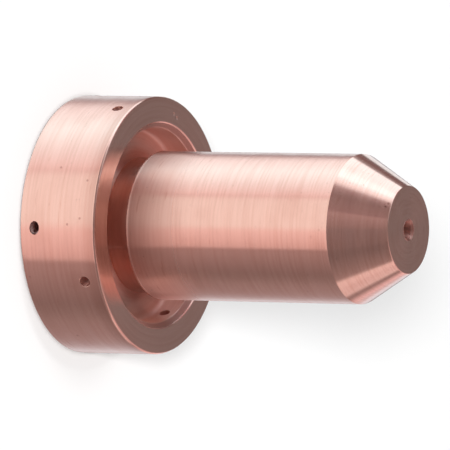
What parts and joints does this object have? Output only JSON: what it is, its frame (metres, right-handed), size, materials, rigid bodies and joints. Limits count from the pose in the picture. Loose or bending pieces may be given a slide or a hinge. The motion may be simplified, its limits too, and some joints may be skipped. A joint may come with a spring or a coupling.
{
  "type": "plasma torch nozzle",
  "caption": "Turned copper nozzle: a cross-drilled rear flange with a front ring recess, a hollow cylindrical body and a conical nose with a small central orifice.",
  "frame": {"origin": "centre of the flange's rear sealing face", "axes": "+Z along the nozzle to its nose, X and Y through the four cup gas holes in the flange's rim"},
  "size_m": [0.02, 0.02, 0.0285],
  "materials": {
    "copper": "fine turned copper, bare metal"
  },
  "bodies": {
    "root": {"nozzle": "copper"}
  },
  "joints": []
}
